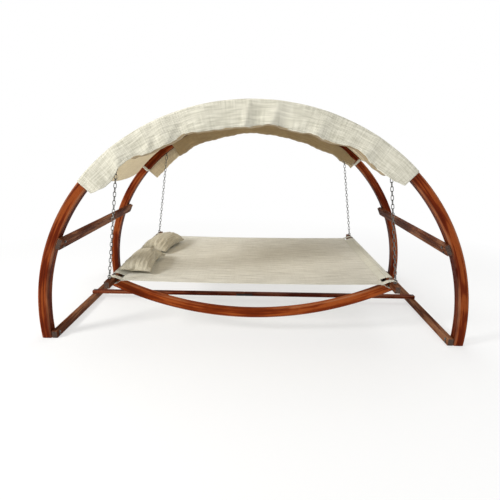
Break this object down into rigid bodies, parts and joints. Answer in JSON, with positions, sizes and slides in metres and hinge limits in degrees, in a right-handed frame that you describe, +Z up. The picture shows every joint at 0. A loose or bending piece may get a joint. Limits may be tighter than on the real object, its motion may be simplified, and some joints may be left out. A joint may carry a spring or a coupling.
{
  "type": "hammock on stand",
  "caption": "Swing bed of cloth on curved timber beams, hung on chains inside a pair of arched timber frames with a draped cloth canopy and loose pillows.",
  "frame": {"origin": "on the floor, under the middle of the stand", "axes": "+X along the bed towards the end without pillows, +Y from the front arch to the back arch, +Z up"},
  "size_m": [3.15, 1.624, 1.708],
  "materials": {
    "stained_timber": "reddish-brown satin stain",
    "brown_timber": "darker brown stain, worn",
    "canopy_cloth": "cream basket weave",
    "bed_cloth": "beige slubby weave",
    "pillow_cloth": "beige linen",
    "zinc_steel": "zinc-plated"
  },
  "bodies": {
    "stand": {"front_arch_crown": "stained_timber", "front_arch_left_leg": "stained_timber", "front_arch_right_leg": "stained_timber", "back_arch_crown": "stained_timber", "back_arch_left_leg": "stained_timber", "back_arch_right_leg": "stained_timber", "left_mid_crossbar": "brown_timber", "left_floor_crossbar": "brown_timber", "right_mid_crossbar": "brown_timber", "right_floor_crossbar": "brown_timber", "front_left_mid_bolts": "zinc_steel", "front_left_floor_bolts": "zinc_steel", "front_right_mid_bolts": "zinc_steel", "front_right_floor_bolts": "zinc_steel", "back_left_mid_bolts": "zinc_steel", "back_left_floor_bolts": "zinc_steel", "back_right_mid_bolts": "zinc_steel", "back_right_floor_bolts": "zinc_steel", "left_stretcher": "stained_timber", "left_stretcher_bolt": "zinc_steel", "right_stretcher": "stained_timber", "right_stretcher_bolt": "zinc_steel", "stretcher_fish_plate": "zinc_steel", "front_left_arch_eye_bolt": "zinc_steel", "front_right_arch_eye_bolt": "zinc_steel", "back_left_arch_eye_bolt": "zinc_steel", "back_right_arch_eye_bolt": "zinc_steel", "canopy_roof": "canopy_cloth", "front_canopy_valance": "canopy_cloth", "front_canopy_flap": "canopy_cloth", "back_canopy_valance": "canopy_cloth", "back_canopy_flap": "canopy_cloth"},
    "bed": {"left_end_bar": "brown_timber", "right_end_bar": "brown_timber", "front_spreader_beam": "stained_timber", "back_spreader_beam": "stained_timber", "front_left_beam_bolt": "zinc_steel", "front_right_beam_bolt": "zinc_steel", "back_left_beam_bolt": "zinc_steel", "back_right_beam_bolt": "zinc_steel", "bed_cloth": "bed_cloth", "front_left_bed_eye_bolt": "zinc_steel", "front_right_bed_eye_bolt": "zinc_steel", "back_left_bed_eye_bolt": "zinc_steel", "back_right_bed_eye_bolt": "zinc_steel"},
    "front_pillow": {"front_pillow": "pillow_cloth"},
    "back_pillow": {"back_pillow": "pillow_cloth"},
    "front_left_top_link": {"front_left_top_link": "zinc_steel"},
    "front_left_chain": {"front_left_chain": "zinc_steel"},
    "front_left_bottom_link": {"front_left_bottom_link": "zinc_steel"},
    "front_right_top_link": {"front_right_top_link": "zinc_steel"},
    "front_right_chain": {"front_right_chain": "zinc_steel"},
    "front_right_bottom_link": {"front_right_bottom_link": "zinc_steel"},
    "back_left_top_link": {"back_left_top_link": "zinc_steel"},
    "back_left_chain": {"back_left_chain": "zinc_steel"},
    "back_left_bottom_link": {"back_left_bottom_link": "zinc_steel"},
    "back_right_top_link": {"back_right_top_link": "zinc_steel"},
    "back_right_chain": {"back_right_chain": "zinc_steel"},
    "back_right_bottom_link": {"back_right_bottom_link": "zinc_steel"}
  },
  "joints": [
    {"name": "front_left_top_link_swing", "type": "hinge", "parent": "stand", "child": "front_left_top_link", "pos_m": [-0.915, -0.745, 1.2934], "axis": [1, 0, 0], "range_deg": [-12, 12]},
    {"name": "front_left_chain_sway", "type": "hinge", "parent": "front_left_top_link", "child": "front_left_chain", "pos_m": [-0.9218, -0.745, 1.2469], "axis": [0, 1, 0], "range_deg": [-3.5, 3.5]},
    {"name": "front_left_bottom_link_sway", "type": "hinge", "parent": "front_left_chain", "child": "front_left_bottom_link", "pos_m": [-1.0262, -0.745, 0.5345], "axis": [0, 1, 0], "range_deg": [-3.3, 3.3]},
    {"name": "front_right_top_link_swing", "type": "hinge", "parent": "stand", "child": "front_right_top_link", "pos_m": [0.915, -0.745, 1.2934], "axis": [1, 0, 0], "range_deg": [-12, 12]},
    {"name": "front_right_chain_sway", "type": "hinge", "parent": "front_right_top_link", "child": "front_right_chain", "pos_m": [0.9218, -0.745, 1.2469], "axis": [0, 1, 0], "range_deg": [-3.5, 3.5]},
    {"name": "front_right_bottom_link_sway", "type": "hinge", "parent": "front_right_chain", "child": "front_right_bottom_link", "pos_m": [1.0262, -0.745, 0.5345], "axis": [0, 1, 0], "range_deg": [-3.3, 3.3]},
    {"name": "back_left_top_link_swing", "type": "hinge", "parent": "stand", "child": "back_left_top_link", "pos_m": [-0.915, 0.745, 1.2934], "axis": [1, 0, 0], "range_deg": [-12, 12]},
    {"name": "back_left_chain_sway", "type": "hinge", "parent": "back_left_top_link", "child": "back_left_chain", "pos_m": [-0.9218, 0.745, 1.2469], "axis": [0, 1, 0], "range_deg": [-3.5, 3.5]},
    {"name": "back_left_bottom_link_sway", "type": "hinge", "parent": "back_left_chain", "child": "back_left_bottom_link", "pos_m": [-1.0262, 0.745, 0.5345], "axis": [0, 1, 0], "range_deg": [-3.3, 3.3]},
    {"name": "back_right_top_link_swing", "type": "hinge", "parent": "stand", "child": "back_right_top_link", "pos_m": [0.915, 0.745, 1.2934], "axis": [1, 0, 0], "range_deg": [-12, 12]},
    {"name": "back_right_chain_sway", "type": "hinge", "parent": "back_right_top_link", "child": "back_right_chain", "pos_m": [0.9218, 0.745, 1.2469], "axis": [0, 1, 0], "range_deg": [-3.5, 3.5]},
    {"name": "back_right_bottom_link_sway", "type": "hinge", "parent": "back_right_chain", "child": "back_right_bottom_link", "pos_m": [1.0262, 0.745, 0.5345], "axis": [0, 1, 0], "range_deg": [-3.3, 3.3]},
    {"name": "bed_swing", "type": "hinge", "parent": "front_left_bottom_link", "child": "bed", "pos_m": [-1.033, -0.745, 0.488], "axis": [1, 0, 0], "range_deg": [-12, 12]},
    {"name": "front_pillow_lift", "type": "slide", "parent": "bed", "child": "front_pillow", "axis": [0, 0, 1], "range_m": [0, 0.15]},
    {"name": "back_pillow_lift", "type": "slide", "parent": "bed", "child": "back_pillow", "axis": [0, 0, 1], "range_m": [0, 0.15]}
  ],
  "couplings": [
    {"joint": "front_left_bottom_link_sway", "follows": "front_left_chain_sway", "ratio": -0.8983},
    {"joint": "front_right_top_link_swing", "follows": "front_left_top_link_swing", "ratio": 1},
    {"joint": "front_right_chain_sway", "follows": "front_left_chain_sway", "ratio": 1},
    {"joint": "front_right_bottom_link_sway", "follows": "front_left_chain_sway", "ratio": -0.8983},
    {"joint": "back_left_top_link_swing", "follows": "front_left_top_link_swing", "ratio": 1},
    {"joint": "back_left_chain_sway", "follows": "front_left_chain_sway", "ratio": 1},
    {"joint": "back_left_bottom_link_sway", "follows": "front_left_chain_sway", "ratio": -0.8983},
    {"joint": "back_right_top_link_swing", "follows": "front_left_top_link_swing", "ratio": 1},
    {"joint": "back_right_chain_sway", "follows": "front_left_chain_sway", "ratio": 1},
    {"joint": "back_right_bottom_link_sway", "follows": "front_left_chain_sway", "ratio": -0.8983},
    {"joint": "bed_swing", "follows": "front_left_top_link_swing", "ratio": -1}
  ]
}
